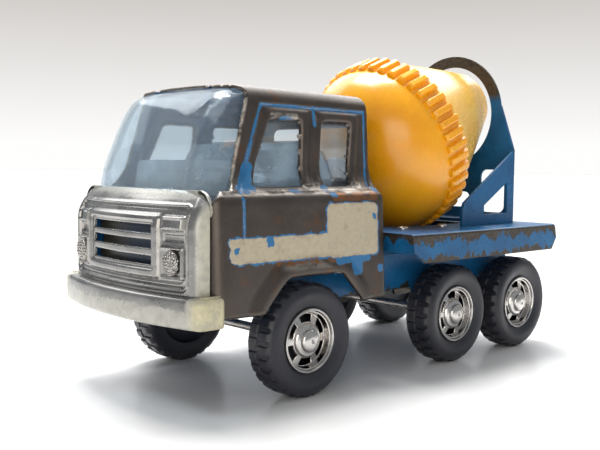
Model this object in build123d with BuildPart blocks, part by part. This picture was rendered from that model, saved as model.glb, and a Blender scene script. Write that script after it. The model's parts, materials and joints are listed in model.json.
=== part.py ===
from math import cos, radians, sin, sqrt
import os

from build123d import *

os.makedirs("parts", exist_ok=True)

# Toy cement mixer, pressed steel and plastic, in millimetres.
# +X is the truck's front, +Y its left side, +Z up; the origin is on the ground under the middle.

# Wheels and axles
wheel_radius = 13.5
tyre_outer_y = 29.1
tyre_width = 8.7
rim_radius = 7.9
lug_count = 26
axle_radius = 1.1
axle_clearance = 0.05
axle_half_length = 27.6
front_axle_x = 31.6
middle_axle_x = -23.7
rear_axle_x = -54.7

# Chassis, an inverted steel channel
sheet = 0.9
chassis_top_z = 30.5
chassis_half_width = 18.6
chassis_front_x = 56.5
chassis_rear_x = -61.4
rail_bottom_z = 20.5

# Deck, a pressed tray with side flanges
deck_top_z = 37.15
deck_front_x = 2.95
deck_rear_x = -62.9
deck_half_width = 34.6
deck_flange_z = 29.7
deck_lip_z = 31.6
drum_hole_front_x = -13.5
drum_hole_rear_x = -44.5
drum_hole_half_width = 15.5

# Cab: upright sides above a flared waist, leaning front pillars, rounded roof edges
cab_bottom_z = 21.2
cab_waist_z = 54.0
cab_roof_z = 72.4
cab_foot_half_width = 28.95
cab_waist_half_width = 22.6
cab_roof_half_width = 21.4
cab_roof_radius = 3.4
cab_belt = ((27.75, 46.8), (26.9, 47.6), (25.4, 48.7), (23.5, 51.0))
cab_front_x = 59.15
cab_rear_x = 5.6
cab_sill_z = 48.9
cab_pillar = ((53.0, 48.9), (50.5, 53.1), (47.9, 61.9), (45.6, 70.2), (47.4, 72.4))
cab_wall = 0.8
front_window = ((39.2, 64.4), (29.6, 64.4), (30.8, 49.6), (45.5, 49.6))
rear_window = ((22.6, 64.3), (13.1, 64.3), (15.2, 49.6), (24.1, 49.6))
arch = ((46.4, 20.0), (46.3, 21.5), (39.0, 28.8), (22.0, 28.7), (15.4, 21.5), (15.2, 20.0))

# Windscreen and side windows, one clear moulding, (height, front edge at its corners, tuck-in)
glass_steps = (
    (48.9, 59.4, 0),
    (53.0, 58.9, 0),
    (59.0, 56.5, 0),
    (65.5, 53.8, 0),
    (69.2, 51.3, 0.15),
    (70.9, 49.4, 1.1),
)
glass_bow = 1.5
glass_corner = 5.5
glass_wall = 0.9
glass_rear_x = 10.0
glass_gap = 0.1

# Grille and bumper, one moulding
front_bow_radius = 93.6
grille_front_x = 65.85
grille_half_width = 26.6
grille_top_z = 48.7
grille_wall = 1.3
grille_corner = 4.0
grille_slot_z = (40.1, 36.8, 33.3)
lamp_y = 19.2
bumper_front_x = 68.2
bumper_half_width = 29.4
bumper_top_z = 26.2
bumper_bottom_z = 19.6
bumper_end_x = 57.5

# Rear support
support_rear_x = -57.1
support_half_width = 23.8
support_shoulder_z = 59.2
ring_centre_z = 70.3
ring_outer_radius = 18.9
ring_inner_radius = 15.4

# Drum, on an axis that rises towards the rear
drum_tilt = radians(22.9)
drum_x = -30.1
drum_z = 61.6
tooth_count = 45
tooth_tip_radius = 26.2
band_radius = 24.8
band_width = 8.0
bowl_length = 16.6
bowl_ellipse = 18.5
cone_length = 34.0
mouth_radius = 10.4
drum_wall = 1.2
spindle_radius = 1.5
spindle_clearance = 0.05

drum_axis = (-cos(drum_tilt), 0, sin(drum_tilt))
drum_plane = Plane(origin=(drum_x, 0, drum_z), x_dir=(0, -1, 0), z_dir=drum_axis)
drum_section = Plane(origin=(drum_x, 0, drum_z), x_dir=drum_axis, z_dir=(0, 1, 0))
drum_line = Axis((drum_x, 0, drum_z), drum_axis)


def save(builder, name, shape=None):
    """Label a finished piece and write it under its own name."""
    part = builder.part if shape is None else shape
    part.label = name
    export_step(part, f"parts/{name}.step")


# ---------------------------------------------------------------- wheels
tyre_inner_y = tyre_outer_y - tyre_width
tread_y = (tyre_outer_y + tyre_inner_y) / 2

with BuildPart() as tyre:
    with BuildSketch(Plane.XY):
        with BuildLine():
            Polyline(
                (rim_radius, tyre_inner_y + 1.6),
                (8.6, tyre_inner_y + 0.7),
                (11.2, tyre_inner_y),
                (12.6, tyre_inner_y + 0.5),
                (wheel_radius, tyre_inner_y + 1.7),
                (wheel_radius, tyre_outer_y - 1.7),
                (12.6, tyre_outer_y - 0.5),
                (11.2, tyre_outer_y),
                (8.6, tyre_outer_y - 0.7),
                (rim_radius, tyre_outer_y - 1.3),
                close=True,
            )
        make_face()
    revolve(axis=Axis.Y)
    # Tread grooves run in from each shoulder, the two sides staggered
    for side, phase in ((1, 0), (-1, 180 / lug_count)):
        with BuildSketch(Plane.XZ.offset(-tread_y - side * 3.0)):
            with PolarLocations(wheel_radius, lug_count, start_angle=phase):
                Rectangle(2.2, 1.5)
        extrude(amount=1.9, both=True, mode=Mode.SUBTRACT)

with BuildPart() as hub:
    with BuildSketch(Plane.XY):
        with BuildLine():
            Polyline(
                (axle_radius, tyre_inner_y + 2.6),
                (rim_radius, tyre_inner_y + 2.6),
                (rim_radius, tyre_outer_y - 1.4),
                (7.2, tyre_outer_y - 0.6),
                (6.6, tyre_outer_y - 1.2),
                (6.3, tyre_outer_y - 3.0),
                (3.3, tyre_outer_y - 1.7),
                (3.3, tyre_outer_y - 0.9),
                (2.3, tyre_outer_y - 0.5),
                (2.1, tyre_outer_y + 0.1),
                (0, tyre_outer_y + 0.4),
                (0, axle_half_length),
                (axle_radius, axle_half_length),
                close=True,
            )
        make_face()
    revolve(axis=Axis.Y)
    # Six windows between the spokes
    with BuildSketch(Plane.XZ.offset(-tyre_outer_y)):
        with PolarLocations(4.9, 6):
            SlotOverall(2.6, 1.5)
    extrude(amount=tyre_width, both=True, mode=Mode.SUBTRACT)

with BuildPart() as axle:
    with BuildSketch(Plane.XZ):
        Circle(axle_radius)
    extrude(amount=axle_half_length, both=True)

wheel_places = (("front", front_axle_x), ("middle", middle_axle_x), ("rear", rear_axle_x))
for place, x in wheel_places:
    save(axle, f"axle_{place}", Pos(x, 0, wheel_radius) * axle.part)
    for side_name, turn in (("left", 0), ("right", 180)):
        spot = Pos(x, 0, wheel_radius) * Rot(0, 0, turn)
        save(tyre, f"tyre_{place}_{side_name}", spot * tyre.part)
        save(hub, f"hub_{place}_{side_name}", spot * hub.part)

# ---------------------------------------------------------------- chassis
with BuildPart() as chassis:
    with BuildSketch(Plane.XY.offset(rail_bottom_z)):
        with Locations(((chassis_front_x + chassis_rear_x) / 2, 0)):
            Rectangle(chassis_front_x - chassis_rear_x, 2 * chassis_half_width)
    extrude(amount=chassis_top_z - rail_bottom_z)
    # Axle ears hang below the rails
    with BuildSketch(Plane.XZ):
        for place, x in wheel_places:
            with BuildLine():
                Polyline(
                    (x - 8.0, rail_bottom_z + 0.5),
                    (x - 4.0, wheel_radius - 3.0),
                    (x + 4.0, wheel_radius - 3.0),
                    (x + 8.0, rail_bottom_z + 0.5),
                    close=True,
                )
            make_face()
    extrude(amount=chassis_half_width, both=True)
    # Hollow underneath, open at both ends
    with BuildSketch(Plane.XY):
        with Locations(((chassis_front_x + chassis_rear_x) / 2, 0)):
            Rectangle(chassis_front_x - chassis_rear_x - 2 * sheet, 2 * (chassis_half_width - sheet))
    extrude(amount=chassis_top_z - sheet, mode=Mode.SUBTRACT)
    with BuildSketch(Plane.XZ):
        for place, x in wheel_places:
            with Locations((x, wheel_radius)):
                Circle(axle_radius + axle_clearance)
    extrude(amount=2 * chassis_half_width, both=True, mode=Mode.SUBTRACT)
save(chassis, "chassis")

# ---------------------------------------------------------------- deck
deck_mid_x = (deck_front_x + deck_rear_x) / 2
deck_length = deck_front_x - deck_rear_x
with BuildPart() as deck:
    with BuildSketch(Plane.XZ):
        with BuildLine():
            Polyline(
                (deck_front_x, deck_top_z),
                (deck_front_x - 0.8, deck_lip_z + 1.0),
                (deck_front_x - 4.8, deck_flange_z),
                (deck_rear_x + 1.4, deck_flange_z),
                (deck_rear_x - 1.0, deck_flange_z + 3.4),
                (deck_rear_x, deck_top_z),
                close=True,
            )
        make_face()
    extrude(amount=deck_half_width, both=True)
    top_sides = deck.edges().filter_by(Axis.X).group_by(Axis.Z)[-1]
    fillet(top_sides, 0.8)
    with BuildSketch(Plane.XY):
        with Locations((deck_mid_x - 0.5, 0)):
            Rectangle(deck_length - 3.2, 2 * (deck_half_width - sheet))
    extrude(amount=deck_top_z - sheet, mode=Mode.SUBTRACT)
    # Front and rear lips are shorter than the side flanges
    with BuildSketch(Plane.YZ.offset(deck_mid_x)):
        with Locations((0, deck_lip_z - 5)):
            Rectangle(2 * (deck_half_width - sheet), 10)
    extrude(amount=deck_length, both=True, mode=Mode.SUBTRACT)
    with BuildSketch(Plane.XY.offset(deck_top_z - 2 * sheet)):
        with Locations(((drum_hole_front_x + drum_hole_rear_x) / 2, 0)):
            RectangleRounded(drum_hole_front_x - drum_hole_rear_x, 2 * drum_hole_half_width, 4)
    extrude(amount=3 * sheet, mode=Mode.SUBTRACT)
    # Two folded stringers stand on the chassis and carry the tray
    for side in (1, -1):
        with BuildSketch(Plane.XY.offset(chassis_top_z)):
            with Locations((deck_mid_x, side * (chassis_half_width - 0.7))):
                Rectangle(deck_length - 6, 1.4)
        extrude(amount=deck_top_z - sheet - chassis_top_z)
save(deck, "deck")

# Rivets through the deck beside the drum hole
deck_rivet_spots = [(x, y) for x in (-27.0, -10.0) for y in (-20.2, 20.2)]
with BuildPart() as deck_rivets:
    with BuildSketch(Plane.XY.offset(deck_top_z)):
        with Locations(*deck_rivet_spots):
            Circle(1.5)
    extrude(amount=0.7)
    fillet(deck_rivets.edges().group_by(Axis.Z)[-1], 0.5)
save(deck_rivets, "deck_rivets")

# ---------------------------------------------------------------- cab
def cab_section(low, inset):
    """Cross-section of the cab, its foot lowered by low and every wall drawn in by inset."""
    foot_z = cab_bottom_z - low
    with BuildSketch(Plane.YZ) as section:
        with BuildLine():
            Polyline(
                (0, foot_z),
                (cab_foot_half_width, foot_z),
                *cab_belt,
                (cab_waist_half_width, cab_waist_z),
                (cab_roof_half_width, cab_roof_z),
                (0, cab_roof_z),
                close=True,
            )
        make_face()
        fillet(vertices().group_by(Axis.Y)[-1].sort_by(Axis.X)[-1], cab_roof_radius)
        mirror(about=Plane.YZ)
        if inset:
            offset(amount=-inset, kind=Kind.INTERSECTION)
    return section.sketch


with BuildPart() as cab_shell:
    extrude(Pos(cab_rear_x, 0, 0) * cab_section(0, 0), amount=cab_front_x - cab_rear_x)
    # Side outline, with the front pillars leaning back to the roof's front lip
    with BuildSketch(Plane.XZ):
        with BuildLine():
            Polyline(
                (cab_rear_x, cab_bottom_z),
                (cab_front_x, cab_bottom_z),
                (cab_front_x, cab_sill_z - 0.9),
                *cab_pillar,
                (cab_rear_x, cab_roof_z),
                close=True,
            )
        make_face()
    extrude(amount=40, both=True, mode=Mode.INTERSECT)
    inner_length = cab_front_x - cab_rear_x - 2 * cab_wall
    extrude(
        Pos(cab_rear_x + cab_wall, 0, 0) * cab_section(2, cab_wall),
        amount=inner_length,
        mode=Mode.SUBTRACT,
    )
    # The lower front is a frame round the back of the grille
    with BuildSketch(Plane.YZ.offset(cab_front_x - 5)):
        with Locations((0, 34.2)):
            Rectangle(50.0, 26.0)
    extrude(amount=8, mode=Mode.SUBTRACT)
    # The rear wall straddles the chassis and has a window
    with BuildSketch(Plane.YZ):
        with Locations((0, cab_bottom_z)):
            Rectangle(2 * chassis_half_width + 0.4, 2 * (chassis_top_z - cab_bottom_z) + 0.2)
        with Locations((0, 57.2)):
            RectangleRounded(30, 13.5, 2)
    extrude(amount=15, mode=Mode.SUBTRACT)
    # Side windows
    with BuildSketch(Plane.XZ):
        for corners in (front_window, rear_window):
            with BuildLine():
                Polyline(*corners, close=True)
            make_face()
        fillet(vertices(), 0.9)
    extrude(amount=40, both=True, mode=Mode.SUBTRACT)
    # Wheel arches
    with BuildSketch(Plane.XZ):
        with BuildLine():
            Polyline(*arch, close=True)
        make_face()
    extrude(amount=40, both=True, mode=Mode.SUBTRACT)
    # Stamped door seams, shallow grooves round the windows and down the lower panel
    waist_slope = (cab_waist_half_width - cab_roof_half_width) / (cab_roof_z - cab_waist_z)
    foot_slope = (cab_foot_half_width - cab_belt[0][0]) / (cab_belt[0][1] - cab_bottom_z)
    upper_seams = (
        (46.7, 54.2, 41.5, 67.8),
        (41.5, 67.8, 7.8, 67.8),
        (7.8, 67.8, 8.2, 54.2),
        (25.4, 67.8, 25.2, 65.0),
    )
    lower_seams = ((51.0, 46.0, 51.1, 36.0), (27.0, 46.0, 27.0, 34.0))
    for side in (1, -1):
        for seams, half_width, z0, slope in (
            (upper_seams, cab_waist_half_width, cab_waist_z, waist_slope),
            (lower_seams, cab_belt[0][0], cab_belt[0][1], foot_slope),
        ):
            panel = Plane(origin=(0, side * half_width, z0), x_dir=(-side, 0, 0), z_dir=(0, side, slope))
            with BuildSketch(panel):
                for x0, start_z, x1, end_z in seams:
                    with BuildLine():
                        Line((-side * x0, start_z - z0), (-side * x1, end_z - z0))
                    trace(line_width=0.5)
            extrude(amount=0.3, both=True, mode=Mode.SUBTRACT)
save(cab_shell, "cab_shell")


def bowed_outline(z, front_x, rear_x, half_width, bow, corner):
    """Plan outline with straight sides, a bowed front and rounded front corners."""
    with BuildSketch(Plane.XY.offset(z)) as outline:
        with BuildLine():
            Polyline(
                (front_x, half_width),
                (rear_x, half_width),
                (rear_x, -half_width),
                (front_x, -half_width),
            )
            ThreePointArc((front_x, -half_width), (front_x + bow, 0), (front_x, half_width))
        make_face()
        fillet(vertices().group_by(Axis.X)[-1], corner)
    return outline.sketch


def glass_block(wall):
    """The glazing's outside as one solid, drawn in by wall."""
    outlines = []
    for z, front_x, tuck in glass_steps:
        half_width = cab_waist_half_width - cab_wall - glass_gap - tuck - (z - cab_waist_z) * waist_slope
        outline = bowed_outline(
            z, front_x - wall, glass_rear_x - wall, half_width - wall, glass_bow, glass_corner - wall
        )
        outlines.append(outline)
    return loft(outlines, ruled=True)


with BuildPart() as glazing:
    add(glass_block(0))
    add(glass_block(glass_wall), mode=Mode.SUBTRACT)
save(glazing, "cab_glazing")

with BuildPart() as cab_interior:
    with BuildSketch(Plane.XZ):
        with BuildLine():
            Polyline(
                (50.0, chassis_top_z),
                (50.0, 47.2),
                (48.5, 55.2),
                (40.5, 55.2),
                (38.0, 52.2),
                (36.0, 52.6),
                (31.5, 59.5),
                (24.5, 60.2),
                (19.5, 57.0),
                (16.5, 50.8),
                (16.0, chassis_top_z),
                close=True,
            )
        make_face()
        fillet(vertices().group_by(Axis.Z)[1:], 1.0)
    extrude(amount=19.5, both=True)
    fillet(cab_interior.edges().filter_by(lambda e: abs(e.center().Y) > 19 and e.center().Z > 48), 0.8)
    with BuildSketch(Plane.XY.offset(chassis_top_z)):
        with Locations((33, 0)):
            Rectangle(31, 36.4)
    extrude(amount=15.5, mode=Mode.SUBTRACT)
save(cab_interior, "cab_interior")

# ---------------------------------------------------------------- grille and bumper
def bowed_front(half_width, corner, points):
    """A side profile swept round the gentle bow of the front, with rounded outer corners."""
    front_x = max(x for x, z in points)
    radius = front_bow_radius + front_x - grille_front_x
    bow = radius - sqrt(radius**2 - half_width**2)
    plan = bowed_outline(0, front_x - bow, cab_front_x - 15, half_width, bow, corner)
    with BuildPart() as front:
        with BuildSketch(Plane.XZ):
            with BuildLine():
                Polyline(*points, close=True)
            make_face()
        revolve(axis=bow_line, revolution_arc=25)
        mirror(about=Plane.XZ)
        extrude(plan, amount=80, mode=Mode.INTERSECT)
    return front.part


bow_line = Axis((grille_front_x - front_bow_radius, 0, 0), (0, 0, 1))
crown = ((0, 40.6), (-1.0, 43.4), (-2.6, 46.4), (-4.6, grille_top_z))
grille_foot_z = bumper_top_z - 3
with BuildPart() as grille_bumper:
    outside = [(cab_front_x - 6, grille_foot_z), (grille_front_x, grille_foot_z)]
    outside += [(grille_front_x + dx, z) for dx, z in crown] + [(cab_front_x - 6, grille_top_z)]
    add(bowed_front(grille_half_width, 2.6, outside))
    with BuildSketch(Plane.YZ.offset(cab_front_x - 10)):
        with Locations((0, grille_top_z - 20)):
            RectangleRounded(2 * grille_half_width, 40, grille_corner)
    extrude(amount=30, mode=Mode.INTERSECT)
    inside = [(cab_front_x - 8, grille_foot_z - 5), (grille_front_x - grille_wall, grille_foot_z - 5)]
    inside += [(grille_front_x - grille_wall + dx, z - 1.0) for dx, z in crown]
    inside += [(cab_front_x - 8, grille_top_z - 1.0)]
    add(bowed_front(grille_half_width - grille_wall, 1.4, inside), mode=Mode.SUBTRACT)
    # Bumper bar with a ledge on top; its ends wrap back beside the cab
    bar = [
        (bumper_end_x - 3, bumper_bottom_z),
        (bumper_front_x - 0.7, bumper_bottom_z),
        (bumper_front_x, bumper_bottom_z + 0.8),
        (bumper_front_x, bumper_top_z - 0.8),
        (bumper_front_x - 0.7, bumper_top_z),
        (bumper_end_x - 3, bumper_top_z),
    ]
    add(bowed_front(bumper_half_width, 2.2, bar))
    hollow = [
        (bumper_end_x - 9, bumper_bottom_z - 5),
        (grille_front_x - grille_wall, bumper_bottom_z - 5),
        (grille_front_x - grille_wall, bumper_top_z + 5),
        (bumper_end_x - 9, bumper_top_z + 5),
    ]
    add(bowed_front(grille_half_width - grille_wall, 1.4, hollow), mode=Mode.SUBTRACT)
    # Behind the cab's front edge only the outer skin of each bumper end is left
    with BuildSketch(Plane.XY):
        with Locations((cab_front_x + 0.05 - 15, 0)):
            Rectangle(30, 2 * (cab_foot_half_width + 0.05))
        with Locations((bumper_end_x - 15, 0)):
            Rectangle(30, 70)
    extrude(amount=60, mode=Mode.SUBTRACT)
    with BuildSketch(Plane.XZ):
        with Locations((bumper_end_x, (bumper_top_z + 60) / 2)):
            Rectangle(2 * (cab_front_x + 0.05 - bumper_end_x), 60 - bumper_top_z)
    extrude(amount=40, both=True, mode=Mode.SUBTRACT)
    # Three cooling slots
    with BuildSketch(Plane.YZ.offset(grille_front_x - 1.5)):
        for z in grille_slot_z:
            with Locations((0, z)):
                Rectangle(24.4, 1.7)
    extrude(amount=5, both=True, mode=Mode.SUBTRACT)
    # Headlamps, each below a pair of stacked lamps
    for y in (-lamp_y, lamp_y):
        with BuildSketch(Plane.YZ.offset(grille_front_x - 3.0)):
            with Locations((y, 33.2)):
                RectangleRounded(7.0, 7.0, 0.8)
            with Locations((y, 38.6), (y, 41.6)):
                RectangleRounded(6.6, 2.4, 0.5)
        extrude(amount=1.6)
        with BuildSketch(Plane.YZ.offset(grille_front_x - 1.4)):
            with Locations((y, 33.2)):
                Circle(2.8)
        extrude(amount=0.6, taper=25)
save(grille_bumper, "grille_bumper")

# ---------------------------------------------------------------- rear support
with BuildPart() as rear_support:
    # Side gussets with a raked front edge and a three-cornered lightening hole
    with BuildSketch(Plane.XZ):
        with BuildLine():
            Polyline(
                (support_rear_x, deck_top_z),
                (support_rear_x, support_shoulder_z),
                (support_rear_x + 1.1, support_shoulder_z - 0.6),
                (-32.5, 43.9),
                (-31.6, 41.8),
                (-31.6, deck_top_z),
                close=True,
            )
        make_face()
        with BuildLine():
            Polyline((-53.6, 40.2), (-53.4, 49.4), (-42.0, 42.8), (-42.0, 40.2), close=True)
        make_face(mode=Mode.SUBTRACT)
    extrude(amount=support_half_width, both=True)
    with BuildSketch(Plane.XZ):
        with Locations((support_rear_x + 15, 50)):
            Rectangle(40, 60)
    extrude(amount=support_half_width - sheet, both=True, mode=Mode.SUBTRACT)
    # Upright plate with the arch that the drum's cone turns in
    with BuildSketch(Plane.YZ.offset(support_rear_x)):
        with BuildLine():
            Polyline(
                (-support_half_width, deck_top_z),
                (-support_half_width, support_shoulder_z),
                (-ring_outer_radius, ring_centre_z + 2.6),
                (ring_outer_radius, ring_centre_z + 2.6),
                (support_half_width, support_shoulder_z),
                (support_half_width, deck_top_z),
                close=True,
            )
        make_face()
        with Locations((0, ring_centre_z)):
            Circle(ring_outer_radius)
            Circle(ring_inner_radius, mode=Mode.SUBTRACT)
        with Locations((16.4, 46.6), (-16.4, 46.6)):
            RectangleRounded(8.8, 13.2, 2.2, mode=Mode.SUBTRACT)
        with Locations((0, 43.7)):
            RectangleRounded(16, 4.8, 2.0, mode=Mode.SUBTRACT)
    extrude(amount=sheet)
    # Foot flange turned forward on to the deck
    with BuildSketch(Plane.XY.offset(deck_top_z)):
        with Locations((support_rear_x + 4.2, 0)):
            Rectangle(8.4, 40)
    extrude(amount=sheet)
save(rear_support, "rear_support")

with BuildPart() as support_rivets:
    with BuildSketch(Plane.XY.offset(deck_top_z + sheet)):
        with Locations((support_rear_x + 5.0, 14), (support_rear_x + 5.0, -14)):
            Circle(1.5)
    extrude(amount=0.7)
    fillet(support_rivets.edges().group_by(Axis.Z)[-1], 0.5)
save(support_rivets, "support_rivets")

# ---------------------------------------------------------------- drum
nose_s = -band_width - bowl_length
bowl_steps = 7
bowl_outer = []
bowl_inner = []
for i in range(bowl_steps + 1):
    s = -band_width - bowl_length * i / bowl_steps
    shape = sqrt(1 - ((s + band_width) / bowl_ellipse) ** 2)
    bowl_outer.append((s, band_radius * shape))
    inner_s = -band_width - (bowl_length - drum_wall) * i / bowl_steps
    bowl_inner.append((inner_s, (band_radius - drum_wall) * shape))

with BuildPart() as drum_bowl:
    with BuildSketch(drum_section):
        with BuildLine():
            Spline(*bowl_outer)
            Polyline(
                bowl_outer[-1],
                (nose_s, spindle_radius),
                (nose_s + 6.0, spindle_radius),
                (nose_s + 6.0, 4.0),
                (nose_s + drum_wall, 4.0),
                bowl_inner[-1],
            )
            Spline(*reversed(bowl_inner))
            Polyline(
                bowl_inner[0],
                (0, band_radius - drum_wall),
                (0, band_radius),
                bowl_outer[0],
            )
        make_face()
    revolve(axis=drum_line)
    # Toothed girth band of rounded bars
    with BuildSketch(drum_plane.offset(-band_width)):
        Circle(band_radius + 0.5)
        with PolarLocations(tooth_tip_radius - 0.95, tooth_count):
            Circle(0.95)
        Circle(band_radius - 0.4, mode=Mode.SUBTRACT)
    extrude(amount=band_width)
save(drum_bowl, "drum_bowl")

cone_base = band_radius - 0.6
with BuildPart() as drum_cone:
    with BuildSketch(drum_section):
        with BuildLine():
            Polyline(
                (0, cone_base - drum_wall),
                (0, cone_base),
                (1.2, cone_base - 0.2),
                (cone_length - 3.0, mouth_radius + 0.9),
                (cone_length - 0.8, mouth_radius),
                (cone_length, mouth_radius - 0.5),
                (cone_length, mouth_radius - drum_wall),
                (cone_length - 3.2, mouth_radius + 0.9 - drum_wall),
                close=True,
            )
        make_face()
    revolve(axis=drum_line)
save(drum_cone, "drum_cone")

# Spindle fixed in the drum's nose, turning in the front bracket
bracket_s = nose_s - 1.2
with BuildPart() as drum_spindle:
    with BuildSketch(drum_plane.offset(nose_s + 6.0)):
        Circle(spindle_radius)
    extrude(amount=-(6.0 + 1.2 + sheet + 0.3))
    with BuildSketch(drum_plane.offset(bracket_s - sheet - 0.3)):
        Circle(2.6)
    extrude(amount=-0.9)
save(drum_spindle, "drum_spindle")

with BuildPart() as spindle_washer:
    with BuildSketch(drum_plane.offset(nose_s - 0.1)):
        Circle(4.2)
        Circle(spindle_radius, mode=Mode.SUBTRACT)
    extrude(amount=-0.8)
save(spindle_washer, "spindle_washer")

bracket_drop = (drum_z + bracket_s * drum_axis[2] - deck_top_z) / cos(drum_tilt)
bracket_foot_x = drum_x + bracket_s * drum_axis[0] - bracket_drop * sin(drum_tilt)
with BuildPart() as drum_bracket:
    with BuildSketch(drum_plane.offset(bracket_s)):
        with Locations((0, (5.0 - bracket_drop) / 2)):
            Rectangle(13, bracket_drop + 5.0)
        fillet(vertices().group_by(Axis.Z)[-1], 4.5)
        Circle(spindle_radius + spindle_clearance, mode=Mode.SUBTRACT)
    extrude(amount=-sheet)
    with BuildSketch(Plane.XY.offset(deck_top_z)):
        with Locations((bracket_foot_x + 4.2, 0)):
            Rectangle(8.4, 13)
    extrude(amount=sheet)
    # Trim the leaning plate flush with the deck
    with BuildSketch(Plane.XY.offset(deck_top_z)):
        with Locations((bracket_foot_x, 0)):
            Rectangle(20, 20)
    extrude(amount=-5, mode=Mode.SUBTRACT)
save(drum_bracket, "drum_bracket")

with BuildPart() as bracket_rivets:
    with BuildSketch(Plane.XY.offset(deck_top_z + sheet)):
        with Locations((bracket_foot_x + 5.6, 4), (bracket_foot_x + 5.6, -4)):
            Circle(1.2)
    extrude(amount=0.6)
    fillet(bracket_rivets.edges().group_by(Axis.Z)[-1], 0.4)
save(bracket_rivets, "bracket_rivets")
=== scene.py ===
import json
from math import cos, exp, floor, log, pi, radians, sin, sqrt

import bpy
from mathutils import Matrix, Vector


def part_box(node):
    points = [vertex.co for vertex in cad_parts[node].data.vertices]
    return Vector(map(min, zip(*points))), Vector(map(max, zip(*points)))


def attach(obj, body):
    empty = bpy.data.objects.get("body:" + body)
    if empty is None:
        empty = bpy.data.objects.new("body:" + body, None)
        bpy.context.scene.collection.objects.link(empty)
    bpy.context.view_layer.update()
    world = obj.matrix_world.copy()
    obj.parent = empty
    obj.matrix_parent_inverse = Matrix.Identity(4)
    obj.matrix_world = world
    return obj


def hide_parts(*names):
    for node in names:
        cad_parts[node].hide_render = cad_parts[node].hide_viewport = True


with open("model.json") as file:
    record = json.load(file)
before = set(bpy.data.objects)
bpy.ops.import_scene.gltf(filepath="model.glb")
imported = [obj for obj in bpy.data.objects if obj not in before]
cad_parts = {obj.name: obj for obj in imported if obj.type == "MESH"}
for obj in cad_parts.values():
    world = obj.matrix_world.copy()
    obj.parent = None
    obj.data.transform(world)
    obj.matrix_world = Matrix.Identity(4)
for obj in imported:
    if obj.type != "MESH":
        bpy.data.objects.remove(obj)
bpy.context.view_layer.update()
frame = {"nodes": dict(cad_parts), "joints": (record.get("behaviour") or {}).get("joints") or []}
scene = bpy.context.scene
nodes = frame["nodes"]
mm = 0.001
SIDES = {"left": 1, "right": -1}
AXLES = ("front", "middle", "rear")


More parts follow.
